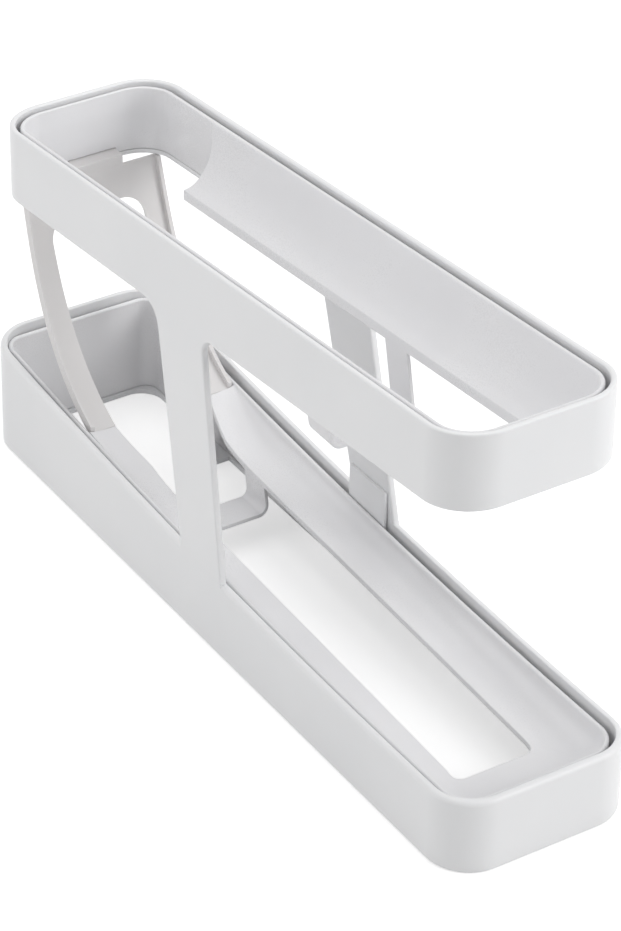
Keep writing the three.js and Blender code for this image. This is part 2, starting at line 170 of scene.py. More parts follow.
footMiddle = sidePost["backAtBand"] + sidePost["lean"] + sidePost["width"] / 2
tongueWidth, tongueThickness = 25.5, 1.6
tongueOuter = baseBand["width"] / 2 - baseBand["wall"] - fit
tongue = {
    "middle": footMiddle,
    "width": tongueWidth,
    "outer": tongueOuter,
    "inner": tongueOuter - tongueThickness,
    "gap": 4,
    "pad": 11,
    "step": 0.7,
    "edgeRound": 0.5,
    "padFoot": baseTop(footMiddle - tongueWidth / 2) + fit,
    "catchRadius": 1.1,
    "catchSink": 0.25,  # the share of its radius by which a catch lies below the tongue's face
    "catchLength": 12,
    "catchHeight": 14,
    "pocketHeight": 24,
}


# modelling helpers
def newMesh():
    bm = bmesh.new()
    bm.verts.layers.float_vector.new("home")  # where a point lies on its outline
    bm.verts.layers.int.new("row")  # which row of the section it belongs to
    return bm


def onceEach(items):
    # each item once, in the order in which they come
    return list(dict.fromkeys(items))


def evenly(low, high, count):
    return [low + (high - low) * k / count for k in range(count + 1)]


def cutPlane(bm, place, normal, **cleared):
    everything = bm.verts[:] + bm.edges[:] + bm.faces[:]
    bmesh.ops.bisect_plane(bm, geom=everything, plane_co=place, plane_no=normal, dist=weld, **cleared)


def markHome(bm):
    home = bm.verts.layers.float_vector["home"]
    for vert in bm.verts:
        vert[home] = vert.co


def closeHoles(bm):
    bmesh.ops.holes_fill(bm, edges=[edge for edge in bm.edges if edge.is_boundary], sides=0)
    bmesh.ops.recalc_face_normals(bm, faces=bm.faces[:])


def roundedOutline(bm, band, cuts):
    made = bmesh.ops.create_grid(bm, x_segments=1, y_segments=1, size=0.5)
    bmesh.ops.scale(bm, vec=(band["front"] - band["back"], band["width"], 1), verts=made["verts"])
    bmesh.ops.translate(bm, vec=((band["front"] + band["back"]) / 2, 0, 0), verts=made["verts"])
    bmesh.ops.bevel(bm, geom=made["verts"], offset=band["corner"], offset_type="OFFSET",
                    segments=band["cornerSteps"], profile=0.5, affect="VERTICES", material=-1)
    bmesh.ops.delete(bm, geom=bm.faces[:], context="FACES_ONLY")
    for x in cuts:
        cutPlane(bm, (x, 0, 0), (1, 0, 0))
    markHome(bm)
    return bm.edges[:]


def insetPoint(point, band, inset):
    # a round corner shrinks to its least radius, and past that it moves in whole
    radius = band["corner"]
    halfWidth = band["width"] / 2
    shrunk = min(inset, radius - band["leastCorner"])
    pushed = inset - shrunk
    centreX = min(max(point.x, band["back"] + radius), band["front"] - radius)
    centreY = min(max(point.y, radius - halfWidth), halfWidth - radius)
    x = centreX + (point.x - centreX) * (radius - shrunk) / radius
    y = centreY + (point.y - centreY) * (radius - shrunk) / radius
    if point.x > band["front"] - radius - tiny:
        x -= pushed
    if point.x < band["back"] + radius + tiny:
        x += pushed
    if abs(point.y) > halfWidth - radius - tiny:
        y -= math.copysign(pushed, point.y)
    return x, y


def row(inset, heightAt):
    return (lambda x: inset), heightAt


def extrudeLoop(bm, loop):
    made = bmesh.ops.extrude_edge_only(bm, edges=loop)["geom"]
    verts = {item for item in made if isinstance(item, bmesh.types.BMVert)}
    edges = [item for item in made if isinstance(item, bmesh.types.BMEdge)]
    return verts, [edge for edge in edges if verts.issuperset(edge.verts)]


def sweepRows(bm, loop, band, rows):
    # the outline is extruded from row to row of a closed section, and the last row is welded to the first
    home = bm.verts.layers.float_vector["home"]
    rowOf = bm.verts.layers.int["row"]
    verts = {vert for edge in loop for vert in edge.verts}
    for number in range(len(rows) + 1):
        if number:
            verts, loop = extrudeLoop(bm, loop)
        insetAt, heightAt = rows[number % len(rows)]
        for vert in verts:
            vert.co.x, vert.co.y = insetPoint(vert[home], band, insetAt(vert[home].x))
            vert.co.z = heightAt(vert.co.x)
            vert[rowOf] = number % len(rows)
    bmesh.ops.remove_doubles(bm, verts=bm.verts[:], dist=weld)
    bmesh.ops.recalc_face_normals(bm, faces=bm.faces[:])


def flattenSides(bm):
    # on a flat upright side the edges between its faces go, so that a bevel has one face to run on
    flat = []
    for edge in bm.edges:
        if len(edge.link_faces) == 2:
            one, other = (face.normal for face in edge.link_faces)
            if abs(one.y) > parallel and one.dot(other) > parallel:
                flat.append(edge)
    bmesh.ops.dissolve_edges(bm, edges=flat, use_verts=False)


def sharpEdges(bm, keep, least=40):
    # least is in degrees
    return [edge for edge in bm.edges if edge.is_convex and keep(edge)
            and edge.calc_face_angle(0) > math.radians(least)]


def edgesAlong(bm, keep):
    # the edges that run along the rack, with both ends where keep allows it
    return [edge for edge in bm.edges if edge.verts[0].co.y == edge.verts[1].co.y
            and all(keep(vert.co) for vert in edge.verts)]


def roundEdges(bm, edges, size, segments=4):
    bmesh.ops.bevel(bm, geom=edges, offset=size, offset_type="OFFSET", segments=segments, profile=0.5,
                    affect="EDGES", clamp_overlap=False, material=-1)


def addBlock(bm, low, high, edgeRound=0.0, steps=2):
    made = bmesh.ops.create_cube(bm, size=1)["verts"]
    size = Vector(high) - Vector(low)
    bmesh.ops.scale(bm, vec=size, verts=made)
    bmesh.ops.translate(bm, vec=(Vector(low) + Vector(high)) / 2, verts=made)
    if edgeRound:
        edges = onceEach(edge for vert in made for edge in vert.link_edges)
        roundEdges(bm, edges, edgeRound, steps)


def addPair(bm, low, high, edgeRound=0.0):
    # the same block on either side of the rack, given by its corners on the +Y side
    addBlock(bm, (low[0], -high[1], low[2]), (high[0], -low[1], high[2]), edgeRound)
    addBlock(bm, low, high, edgeRound)


def addRod(bm, middle, radius, length, segments=24):
    made = bmesh.ops.create_cone(bm, cap_ends=True, segments=segments, radius1=radius, radius2=radius,
                                 depth=length)
    bmesh.ops.rotate(bm, verts=made["verts"], cent=(0, 0, 0), matrix=Matrix.Rotation(math.pi / 2, 3, "Y"))
    bmesh.ops.translate(bm, verts=made["verts"], vec=middle)


def meshObject(bm, name):
    bmesh.ops.scale(bm, vec=(mm, mm, mm), verts=bm.verts[:])
    mesh = bpy.data.meshes.new(name)
    bm.to_mesh(mesh)
    bm.free()
    for layer in ("home", "row"):
        if layer in mesh.attributes:
            mesh.attributes.remove(mesh.attributes[layer])
    piece = bpy.data.objects.new(name, mesh)
    bpy.context.scene.collection.objects.link(piece)
    return piece


def applyModifiers(piece):
    graph = bpy.context.evaluated_depsgraph_get()
    baked = bpy.data.meshes.new_from_object(piece.evaluated_get(graph), depsgraph=graph)
    old = piece.data
    piece.modifiers.clear()
    piece.data = baked
    baked.name = piece.name
    bpy.data.meshes.remove(old)


def combine(piece, operation, draw):
    bm = newMesh()
    draw(bm)
    tool = meshObject(bm, "tool")
    step = piece.modifiers.new("combine", "BOOLEAN")
    step.operation = operation
    step.solver = "MANIFOLD"
    step.object = tool
    applyModifiers(piece)
    bpy.data.objects.remove(tool)


def dressPiece(piece, node, material):
    mesh = piece.data
    mesh.materials.clear()
    mesh.materials.append(material)
    for polygon in mesh.polygons:
        polygon.use_smooth = True
    mesh.set_sharp_from_angle(angle=math.radians(smoothAngle))
    weighted = piece.modifiers.new("evenShading", "WEIGHTED_NORMAL")
    weighted.keep_sharp = True
    weighted.mode = "FACE_AREA"
    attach(piece, "root")
    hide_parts(node)
    print(f"{piece.name}: {len(mesh.polygons)} faces")


# finishes
def makeGroup(name, inputs, outputs):
    group = bpy.data.node_groups.new(name, "ShaderNodeTree")
    for label, kind, value in inputs:
        socket = group.interface.new_socket(name=label, in_out="INPUT", socket_type=kind)
        if value is not None:
            socket.default_value = value
    for label, kind in outputs:
        group.interface.new_socket(name=label, in_out="OUTPUT", socket_type=kind)
    return group, group.nodes.new("NodeGroupInput"), group.nodes.new("NodeGroupOutput")


def noise(tree, vector, scale, detail, roughness=0.5):
    node = tree.nodes.new("ShaderNodeTexNoise")
    tree.links.new(vector, node.inputs["Vector"])
    if isinstance(scale, bpy.types.NodeSocket):
        tree.links.new(scale, node.inputs["Scale"])
    else:
        node.inputs["Scale"].default_value = scale
    node.inputs["Detail"].default_value = detail
    node.inputs["Roughness"].default_value = roughness
    return node.outputs["Fac"]


def remap(tree, value, low, high, outLow, outHigh):
    node = tree.nodes.new("ShaderNodeMapRange")
    for label, setting in (("Value", value), ("From Min", low), ("From Max", high),
                           ("To Min", outLow), ("To Max", outHigh)):
        if isinstance(setting, bpy.types.NodeSocket):
            tree.links.new(setting, node.inputs[label])
        else:
            node.inputs[label].default_value = setting
    return node.outputs["Result"]


def mathNode(tree, operation, one, other):
    node = tree.nodes.new("ShaderNodeMath")
    node.operation = operation
    for socket, setting in zip(node.inputs, (one, other)):
        if isinstance(setting, bpy.types.NodeSocket):
            tree.links.new(setting, socket)
        else:
            socket.default_value = setting
    return node.outputs["Value"]


def mixColour(tree, factor, one, other):
    node = tree.nodes.new("ShaderNodeMix")
    node.data_type = "RGBA"
    tree.links.new(factor, node.inputs["Factor"])
    tree.links.new(one, node.inputs["A"])
    tree.links.new(other, node.inputs["B"])
    return node.outputs["Result"]


# polypropylene as it leaves the mould: a slow drift of tone, a spark-eroded grain and patchy gloss
mouldedForm = {
    "driftDetail": 3,
    "driftFrom": 0.35,
    "driftTo": 0.7,
    "driftShade": 0.6,
    "grainDetail": 4,
    "grainRoughness": 0.62,
    "speckleFrom": 0.62,
    "speckleTo": 0.78,
    "speckleShade": 0.35,
    "driftInGloss": 0.5,
    "grainInGloss": 0.5,
    "glossFrom": 0.35,
    "glossTo": 0.65,
    "bumpDepth": 0.0001,  # metres
    "glowRadius": (1, 0.9, 0.8),
    "glowDepth": 0.002,  # metres
    "ior": 1.49,
}


def makeMouldedSurface():
    group, given, result = makeGroup(
        "mouldedSurface",
        [("Vector", "NodeSocketVector", None), ("Tone", "NodeSocketColor", (0.8, 0.8, 0.8, 1)),
         ("Shade", "NodeSocketColor", (0.7, 0.7, 0.7, 1)), ("Drift Scale", "NodeSocketFloat", 18.0),
         ("Grain Scale", "NodeSocketFloat", 1600.0), ("Gloss Low", "NodeSocketFloat", 0.34),
         ("Gloss High", "NodeSocketFloat", 0.5)],
        [("Color", "NodeSocketColor"), ("Roughness", "NodeSocketFloat"), ("Height", "NodeSocketFloat")],
    )
    form = mouldedForm
    vector = given.outputs["Vector"]
    drift = noise(group, vector, given.outputs["Drift Scale"], form["driftDetail"])
    grain = noise(group, vector, given.outputs["Grain Scale"],
                  form["grainDetail"], form["grainRoughness"])
    speckle = remap(group, grain, form["speckleFrom"], form["speckleTo"], 0.0, form["speckleShade"])
    flow = remap(group, drift, form["driftFrom"], form["driftTo"], 0.0, 1.0)
    blend = mathNode(group, "MAXIMUM", mathNode(group, "MULTIPLY", flow, form["driftShade"]), speckle)
    colour = mixColour(group, blend, given.outputs["Tone"], given.outputs["Shade"])
    group.links.new(colour, result.inputs["Color"])
    patch = mathNode(group, "ADD", mathNode(group, "MULTIPLY", drift, form["driftInGloss"]),
                     mathNode(group, "MULTIPLY", grain, form["grainInGloss"]))
    gloss = remap(group, patch, form["glossFrom"], form["glossTo"],
                  given.outputs["Gloss Low"], given.outputs["Gloss High"])
    group.links.new(gloss, result.inputs["Roughness"])
    group.links.new(grain, result.inputs["Height"])
    return group


mouldedSurface = makeMouldedSurface()
finishes = {
    "bandPlastic": {
        "tone": (0.86, 0.862, 0.87), "shade": (0.815, 0.82, 0.832), "drift": 14, "grain": 1500,
        "glossLow": 0.28, "glossHigh": 0.41, "bump": 0.11, "glow": 0.05,
    },
    "trackPlastic": {
        "tone": (0.84, 0.838, 0.85), "shade": (0.795, 0.793, 0.81), "drift": 20, "grain": 2200,
        "glossLow": 0.24, "glossHigh": 0.36, "bump": 0.07, "glow": 0.05,
    },
    # the chute's tone and shade are the plastic's own slight warmth, made darker by painted shade and
    # warmer by a painted reflection of the eggs the rack holds, which are left out
    "chutePlasticInPaintedShade": {
        "tone": (0.77, 0.755, 0.75), "shade": (0.72, 0.705, 0.705), "drift": 24, "grain": 1900,
        "glossLow": 0.3, "glossHigh": 0.44, "bump": 0.08, "glow": 0.05,
    },
}


def makePlastic(name):
    look = finishes[name]
    material = bpy.data.materials.new(name)
    material.use_nodes = True
    tree = material.node_tree
    shader = tree.nodes["Principled BSDF"]
    place = tree.nodes.new("ShaderNodeTexCoord")
    surface = tree.nodes.new("ShaderNodeGroup")
    surface.node_tree = mouldedSurface
    tree.links.new(place.outputs["Object"], surface.inputs["Vector"])
    surface.inputs["Tone"].default_value = (*look["tone"], 1)
    surface.inputs["Shade"].default_value = (*look["shade"], 1)
    surface.inputs["Drift Scale"].default_value = look["drift"]
    surface.inputs["Grain Scale"].default_value = look["grain"]
    surface.inputs["Gloss Low"].default_value = look["glossLow"]
    surface.inputs["Gloss High"].default_value = look["glossHigh"]
    bump = tree.nodes.new("ShaderNodeBump")
    bump.inputs["Strength"].default_value = look["bump"]
    bump.inputs["Distance"].default_value = mouldedForm["bumpDepth"]
    tree.links.new(surface.outputs["Height"], bump.inputs["Height"])
    tree.links.new(surface.outputs["Color"], shader.inputs["Base Color"])
    tree.links.new(surface.outputs["Roughness"], shader.inputs["Roughness"])
    tree.links.new(bump.outputs["Normal"], shader.inputs["Normal"])
    shader.inputs["Subsurface Weight"].default_value = look["glow"]
    shader.inputs["Subsurface Radius"].default_value = mouldedForm["glowRadius"]
    shader.inputs["Subsurface Scale"].default_value = mouldedForm["glowDepth"]
    shader.inputs["IOR"].default_value = mouldedForm["ior"]
    return material


materials = {name: makePlastic(name) for name in finishes}
print("finishes made")


# the upper band, drawn down into a post on either side
def growPosts(bm, lastRow):
    home = bm.verts.layers.float_vector["home"]
    rowOf = bm.verts.layers.int["row"]
    half = sidePost["width"] / 2
    centre = sidePost["backAtBand"] + half
    flare = half + sidePost["fillet"]
    drop = tierFoot(centre) - baseTop(centre + sidePost["lean"])
    faces = []
    for face in bm.faces:
        inReach = all(abs(vert[home].x - centre) < flare + tiny for vert in face.verts)
        if inReach and {vert[rowOf] for vert in face.verts} == {0, lastRow}:
            faces.append(face)
    steps = []
    for k in range(1, sidePost["filletSteps"] + 1):
        angle = math.pi / 2 * k / sidePost["filletSteps"]
        down = sidePost["fillet"] * (1 - math.cos(angle))
        steps.append((half + sidePost["fillet"] * (1 - math.sin(angle)), down))
    steps.append((half, drop))
    for halfWidth, down in steps:
        region = faces + onceEach(edge for face in faces for edge in face.edges)
        made = bmesh.ops.extrude_face_region(bm, geom=region)["geom"]
        faces = [item for item in made if isinstance(item, bmesh.types.BMFace)]
        for vert in {vert for face in faces for vert in face.verts}:
            top = centre + (vert[home].x - centre) / flare * halfWidth
            backward = (centre + halfWidth - top) / (2 * halfWidth)
            x = top + (sidePost["lean"] + sidePost["footNarrowing"] * backward) * down / drop
            inset = 0 if vert[rowOf] == 0 else sidePost["thickness"]
            y = math.copysign(tierBand["width"] / 2 - inset, vert[home].y)
            atFoot = down == drop
            vert.co = (x, y, baseTop(x) + sidePost["seatGap"] if atFoot else tierFoot(top) - down)
    bmesh.ops.recalc_face_normals(bm, faces=bm.faces[:])


def splayPosts(bm):
    # below the fillets the posts lean out to stand flush on the wider base band
    start = sidePost["fillet"] + sidePost["splayFrom"]
    centre = sidePost["backAtBand"] + sidePost["width"] / 2
    reach = tierFoot(centre) - start - baseTop(centre + sidePost["lean"])
    lean = (baseBand["width"] - tierBand["width"]) / 2
    cutPlane(bm, (0, 0, tierFoot(0) - start), (-tierGrade, 0, 1))
    for vert in bm.verts:
        below = tierFoot(vert.co.x) - start - vert.co.z
        if below > tiny:
            vert.co.y += math.copysign(min(lean * below / reach, lean), vert.co.y)


def addTongues(bm):
    left, right = tongue["middle"] - tongue["width"] / 2, tongue["middle"] + tongue["width"] / 2
    addPair(bm, (left, tongue["inner"], tongue["gap"]),
            (right, tongue["outer"], tongue["padFoot"] + tongue["pad"]), tongue["edgeRound"])


def addTonguePads(bm):
    left, right = tongue["middle"] - tongue["width"] / 2, tongue["middle"] + tongue["width"] / 2
    step, foot = tongue["step"], tongue["padFoot"]
    buried = baseBand["width"] / 2 - sidePost["thickness"] / 2
    addPair(bm, (left + step, tongue["inner"] + step, foot),
            (right - step, buried, foot + tongue["pad"] - step))


def addCatches(bm, extra=0.0):
    for side in (-1, 1):
        y = side * (tongue["outer"] - tongue["catchRadius"] * tongue["catchSink"])
        addRod(bm, (tongue["middle"], y, tongue["catchHeight"]), tongue["catchRadius"] + extra,
               tongue["catchLength"] + 2 * extra)


def addRibs(bm, band, footAt):
    inner = band["width"] / 2 - band["wall"] - band["groove"] + fit
    buried = band["width"] / 2 - band["wall"] / 2
    half = rib["thickness"] / 2
    for share in rib["placeShares"]:
        x = band["back"] + (band["front"] - band["back"]) * share
        z = footAt(x) + band["flangeThickness"] / 2
        addPair(bm, (x - half, inner, z), (x + half, buried, z + rib["height"]), rib["edgeRound"])


def makeUpperFrame():
    bm = newMesh()
    half = sidePost["width"] / 2 + sidePost["fillet"]
    centre = sidePost["backAtBand"] + sidePost["width"] / 2
    loop = roundedOutline(bm, tierBand, evenly(centre - half, centre + half, sidePost["columns"]))
    wall, flange = tierBand["wall"], tierBand["flange"]
    shelf = lambda x: tierFoot(x) + tierBand["flangeThickness"]
    rows = [row(0, tierFoot), row(0, tierTop), row(wall, tierTop), row(wall, shelf),
            row(wall + flange, shelf), row(wall + flange, tierFoot), row(sidePost["thickness"], tierFoot)]
    sweepRows(bm, loop, tierBand, rows)
    growPosts(bm, len(rows) - 1)
    flattenSides(bm)
    innerY = tierBand["width"] / 2 - sidePost["thickness"]

    def rounded(edge):
        ends = [vert.co for vert in edge.verts]
        if all(end.z < baseTop(end.x) + sidePost["squareFoot"] for end in ends):
            return False  # the foot of a post stays square on the rim below it
        innerSide = all(abs(abs(end.y) - innerY) < tiny for end in ends)
        return not innerSide or all(tierFoot(end.x) - end.z > sidePost["roundFrom"] for end in ends)

    roundEdges(bm, sharpEdges(bm, rounded), tierBand["edgeRound"])
    splayPosts(bm)
    piece = meshObject(bm, "upper_band_and_posts")
    for draw in (addTongues, addTonguePads, addCatches, lambda tool: addRibs(tool, tierBand, tierFoot)):
        combine(piece, "UNION", draw)
    dressPiece(piece, "upper_frame", materials["bandPlastic"])


makeUpperFrame()


# the base band, with a pocket for each post and a slotted tab for each leg of the chute
chuteLeg = {
    "back": baseLow.x + 57,
    "front": baseLow.x + 73,
    "outer": 24.5,
    "thickness": 2,
    "pegWidth": 8,
    "pegThickness": 1.2,
    "pegRise": 1.5,  # how far a peg runs up into its leg
    "blankHeight": 1,  # a leg's height before its top is drawn up to the chute
    "cuts": 4,
}


def addPockets(bm):
    half = rib["thickness"] / 2
    buried = baseBand["width"] / 2 - baseBand["wall"] / 2
    for end in (-1, 1):
        x = tongue["middle"] + end * (tongue["width"] / 2 + fit + half)
        addPair(bm, (x - half, tongue["inner"], baseBand["flangeThickness"] / 2),
                (x + half, buried, tongue["pocketHeight"]), rib["edgeRound"])


def addLegTabs(bm):
    outer = baseBand["width"] / 2 - baseBand["wall"] - baseBand["flange"] / 2
    inner = chuteLeg["outer"] - 2 * chuteLeg["thickness"]
    addPair(bm, (chuteLeg["back"], inner, 0), (chuteLeg["front"], outer, baseBand["flangeThickness"]))


def addPegSlots(bm):
    middle = (chuteLeg["back"] + chuteLeg["front"]) / 2
    half = chuteLeg["pegWidth"] / 2 + fit
    outer = chuteLeg["outer"] - (chuteLeg["thickness"] - chuteLeg["pegThickness"]) / 2
    addPair(bm, (middle - half, outer - chuteLeg["pegThickness"] - fit, -overrun),
            (middle + half, outer + fit, baseBand["flangeThickness"] + overrun))


def makeBaseBand():
    bm = newMesh()
    ends = baseBand["corner"] + cutMargin
    footBack = sidePost["backAtBand"] + sidePost["lean"] + sidePost["footNarrowing"]
    footFront = sidePost["backAtBand"] + sidePost["lean"] + sidePost["width"]
    footEnds = [footBack, footFront]
    cuts = evenly(baseBand["back"] + ends, baseBand["front"] - ends, baseBand["topCuts"])
    cuts = [x for x in cuts if min(abs(x - end) for end in footEnds) > baseBand["postClear"]]
    cuts += footEnds + [footBack + baseBand["runOut"], footFront - baseBand["runOut"]]
    loop = roundedOutline(bm, baseBand, cuts)
    wall, flange = baseBand["wall"], baseBand["flange"]
    ground = lambda x: 0
    shelf = lambda x: baseBand["flangeThickness"]
    rows = [row(0, ground), row(0, baseTop), row(wall, baseTop), row(wall, shelf),
            row(wall + flange, shelf), row(wall + flange, ground)]
    sweepRows(bm, loop, baseBand, rows)
    flattenSides(bm)
    rowOf = bm.verts.layers.int["row"]

    def inRow(edge, number):
        return all(vert[rowOf] == number for vert in edge.verts)

    def underPost(edge):
        return all(footEnds[0] - tiny < vert.co.x < footEnds[1] + tiny for vert in edge.verts)

    outerRim = sharpEdges(bm, lambda edge: inRow(edge, 1) and not underPost(edge))
    roundEdges(bm, outerRim, baseBand["edgeRound"], baseBand["edgeSteps"])
    innerRim = sharpEdges(bm, lambda edge: inRow(edge, 2))
    roundEdges(bm, innerRim, baseBand["innerRound"], baseBand["innerSteps"])
    footRim = sharpEdges(bm, lambda edge: inRow(edge, 0))
    roundEdges(bm, footRim, baseBand["footRound"], baseBand["footSteps"])
    piece = meshObject(bm, "base_band")
    for draw in (lambda tool: addRibs(tool, baseBand, ground), addPockets, addLegTabs):
        combine(piece, "UNION", draw)
    for draw in (addPegSlots, lambda tool: addCatches(tool, fit)):
        combine(piece, "DIFFERENCE", draw)
    dressPiece(piece, "base_ring", materials["bandPlastic"])


makeBaseBand()


# the trays: a lip, a hollow rail on either side and a slot between the rails
trayForm = {
    "wall": 1.6,
    "lip": 1.9,
    "lipSteps": 6,
    "slotWidth": 35,
    "slotRound": 0.45,
    "slotSteps": 3,
    "footSteps": 6,
    "hollowSteps": 16,
    "leastCorner": 4,
    "cornerSteps": 14,
    "tieLength": 15,
    "tieCorner": 5,
    "tieCornerSteps": 8,
    "tieGrade": 0.22,
    "tieRound": 0.4,
    "tieRoundSteps": 2,
    "tieSharp": 60,  # degrees, from which an edge of the tie is rounded
}
hook = {
    "width": 30,
    "thickness": 2.2,
    "seat": (tierFoot(tierBand["back"] + tierBand["wall"] + tierBand["flange"])
             + tierBand["flangeThickness"] + fit),
    "room": 5,  # how far its cutout in the tray reaches either way
    "edgeRound": 0.3,
}


def trayOutline(band, back):
    inset = band["wall"] + band["groove"]
    return {
        "back": back,
        "front": band["front"] - inset,
        "width": band["width"] - 2 * inset,
        "corner": band["corner"] - inset,
        "leastCorner": trayForm["leastCorner"],
        "cornerSteps": trayForm["cornerSteps"],
    }


def arcRows(insetAt, heightAt, radius, start, end, steps):
    rows = []
    for angle in evenly(start, end, steps):
        rows.append((lambda x, a=angle: insetAt(x) + radius * math.cos(a),
                     lambda x, a=angle: heightAt(x) + radius * math.sin(a)))
    return rows


def lipRows(lipAt):
    half = trayForm["lip"] / 2
    return arcRows(lambda x: half, lambda x: lipAt(x) - half, half, math.pi, 0, trayForm["lipSteps"])


def trayRows(lipAt, floorAt, footAt, slotInset, slotLip):
    wall, lip, edge = trayForm["wall"], trayForm["lip"], trayForm["slotRound"]
    rows = [row(0, footAt)] + lipRows(lipAt)
    for k in range(1, trayForm["hollowSteps"]):
        angle = math.pi / 2 * k / trayForm["hollowSteps"]
        rows.append((lambda x, a=angle: slotInset(x) - (slotInset(x) - lip) * math.cos(a),
                     lambda x, a=angle: lipAt(x) - (lipAt(x) - floorAt(x)) * math.sin(a)))
    rows += arcRows(lambda x: slotInset(x) - edge, lambda x: floorAt(x) - edge,
                    edge, math.pi / 2, 0, trayForm["slotSteps"])
    rows += arcRows(lambda x: slotInset(x) - wall / 2, lambda x: floorAt(x) - slotLip + wall / 2,
                    wall / 2, 0, -math.pi, trayForm["footSteps"])
    for k in range(trayForm["hollowSteps"] + 1):
        share = k / trayForm["hollowSteps"]
        rows.append((lambda x, s=share: underInset(slotInset(x), s),
                     lambda x, s=share: underHeight(slotInset(x), lipAt(x), floorAt(x), s)))
    rows.append(row(wall, footAt))
    return rows


def underAngle(slotInset, share):
    shell = slotInset - trayForm["lip"] + trayForm["wall"]
    nearSlot = math.acos(trayForm["wall"] / shell)
    nearSkirt = math.acos((slotInset - trayForm["wall"]) / shell)
    return nearSlot + (nearSkirt - nearSlot) * share


def underInset(slotInset, share):
    shell = slotInset - trayForm["lip"] + trayForm["wall"]
    return slotInset - shell * math.cos(underAngle(slotInset, share))


def underHeight(slotInset, lip, floor, share):
    return lip - (lip - floor + trayForm["wall"]) * math.sin(underAngle(slotInset, share))


def addTie(bm, track, floorAt):
    # a saddle hung under the slot, which holds the two rails together
    x, along = track["tiePlace"], trayForm["tieLength"] / 2
    top = floorAt(x) - track["slotLip"] / 2
    half = trayForm["slotWidth"] / 2 + trayForm["wall"]
    addBlock(bm, (x - along, -half, floorAt(x) - track["tieDepth"]), (x + along, half, top))
    low = edgesAlong(bm, lambda place: place.z < top - tiny)
    roundEdges(bm, low, trayForm["tieCorner"], trayForm["tieCornerSteps"])
    openFaces = [face for face in bm.faces if abs(face.normal.x) > parallel or face.normal.z > parallel]
    bmesh.ops.delete(bm, geom=openFaces, context="FACES")
    bmesh.ops.solidify(bm, geom=bm.faces[:], thickness=trayForm["wall"])
    bmesh.ops.recalc_face_normals(bm, faces=bm.faces[:])

    def belowTop(edge):
        return any(vert.co.z < top - tiny for vert in edge.verts)

    rims = sharpEdges(bm, belowTop, trayForm["tieSharp"])
    roundEdges(bm, rims, trayForm["tieRound"], trayForm["tieRoundSteps"])
    for vert in bm.verts:
        vert.co.x += trayForm["tieGrade"] * (top - vert.co.z)


upperTray = trayOutline(tierBand, tierBand["back"] + tierBand["wall"] + tierBand["groove"])
upperTrack = {
    "lipDrop": 1.5,
    "floorDepth": 27.5,
    "slotLip": 5,
    "dropLength": 50,
    "dropBite": 0.15,  # how far the opening cuts into the lip's inner face
    "dropDepth": 10,  # how far below the band its cutting tool starts
    "dropSteps": 12,
    "cuts": 10,
    "tiePlace": baseLow.x + 215.5,
    "tieDepth": 32,
}


def upperFloor(x):
    return tierTop(x) - upperTrack["floorDepth"]


def addDropOpening(bm):
    # the floor stops short at the back, above the chute
    inset = trayForm["lip"] - upperTrack["dropBite"]
    back = upperTray["back"] + inset
    front = upperTray["back"] + trayForm["lip"] + upperTrack["dropLength"]
    width = upperTray["width"] - 2 * inset
    made = bmesh.ops.create_grid(bm, x_segments=1, y_segments=1, size=0.5)["verts"]
    bmesh.ops.scale(bm, vec=(front - back, width, 1), verts=made)
    low = tierFoot(back) - upperTrack["dropDepth"]
    bmesh.ops.translate(bm, vec=((front + back) / 2, 0, low), verts=made)
    rear = [vert for vert in made if vert.co.x < back + tiny]
    fore = [vert for vert in made if vert.co.x > front - tiny]
    for corners, radius in ((rear, upperTray["corner"] - inset), (fore, trayForm["leastCorner"])):
        bmesh.ops.bevel(bm, geom=corners, offset=radius, offset_type="OFFSET",
                        segments=upperTrack["dropSteps"], profile=0.5, affect="VERTICES", material=-1)
    made = bmesh.ops.extrude_face_region(bm, geom=bm.faces[:])["geom"]
    raised = [item for item in made if isinstance(item, bmesh.types.BMVert)]
    bmesh.ops.translate(bm, vec=(0, 0, tierBand["top"]), verts=raised)
    bmesh.ops.recalc_face_normals(bm, faces=bm.faces[:])


def addHookRoom(bm):
    half, room, back = hook["width"] / 2 + fit, hook["room"], upperTray["back"]
    addBlock(bm, (back - room, -half, tierFoot(back) - room),
             (back + room, half, hook["seat"] + hook["thickness"] + fit))


def makeUpperTrack():
    bm = newMesh()
    ends = upperTray["corner"] + cutMargin
    cuts = evenly(upperTray["back"] + ends, upperTray["front"] - ends, upperTrack["cuts"])
    loop = roundedOutline(bm, upperTray, cuts)
    slotInset = (upperTray["width"] - trayForm["slotWidth"]) / 2
    rows = trayRows(lambda x: tierTop(x) - upperTrack["lipDrop"], upperFloor,
                    lambda x: tierFoot(x) + tierBand["flangeThickness"] + fit, lambda x: slotInset,
                    upperTrack["slotLip"])
    sweepRows(bm, loop, upperTray, rows)
    piece = meshObject(bm, "upper_track_tray")
    combine(piece, "UNION", lambda tool: addTie(tool, upperTrack, upperFloor))
    combine(piece, "DIFFERENCE", addDropOpening)
    combine(piece, "DIFFERENCE", addHookRoom)
    dressPiece(piece, "upper_track", materials["trackPlastic"])


makeUpperTrack()


handOver = baseLow.x + 75  # where the chute ends and the lower tray starts
lowerTray = trayOutline(baseBand, handOver + fit)
lowerTrack = {
    "lipDrop": 2.5,
    "floorFront": 14.8,
    "slotLip": 3,
    "fall": 12.7,
    "entryDrop": 10,
    "entryLength": 41,
    "entryFlare": 20,
    "entryWidth": 44,
    "frontHollow": 10,  # how much longer the hollow is at the front end than at the sides
    "cuts": 30,
    "cutSpread": 1.5,  # above 1 the cuts lie closer together towards the back
    "cutMargin": 22,  # the longer front hollow keeps the cuts further from its round corners
    "backCuts": 5,
    "backCorner": 8,
    "tiePlace": baseLow.x + 118,
    "tieDepth": 15,
}


def lowerLip(x):
    return baseTop(x) - lowerTrack["lipDrop"]


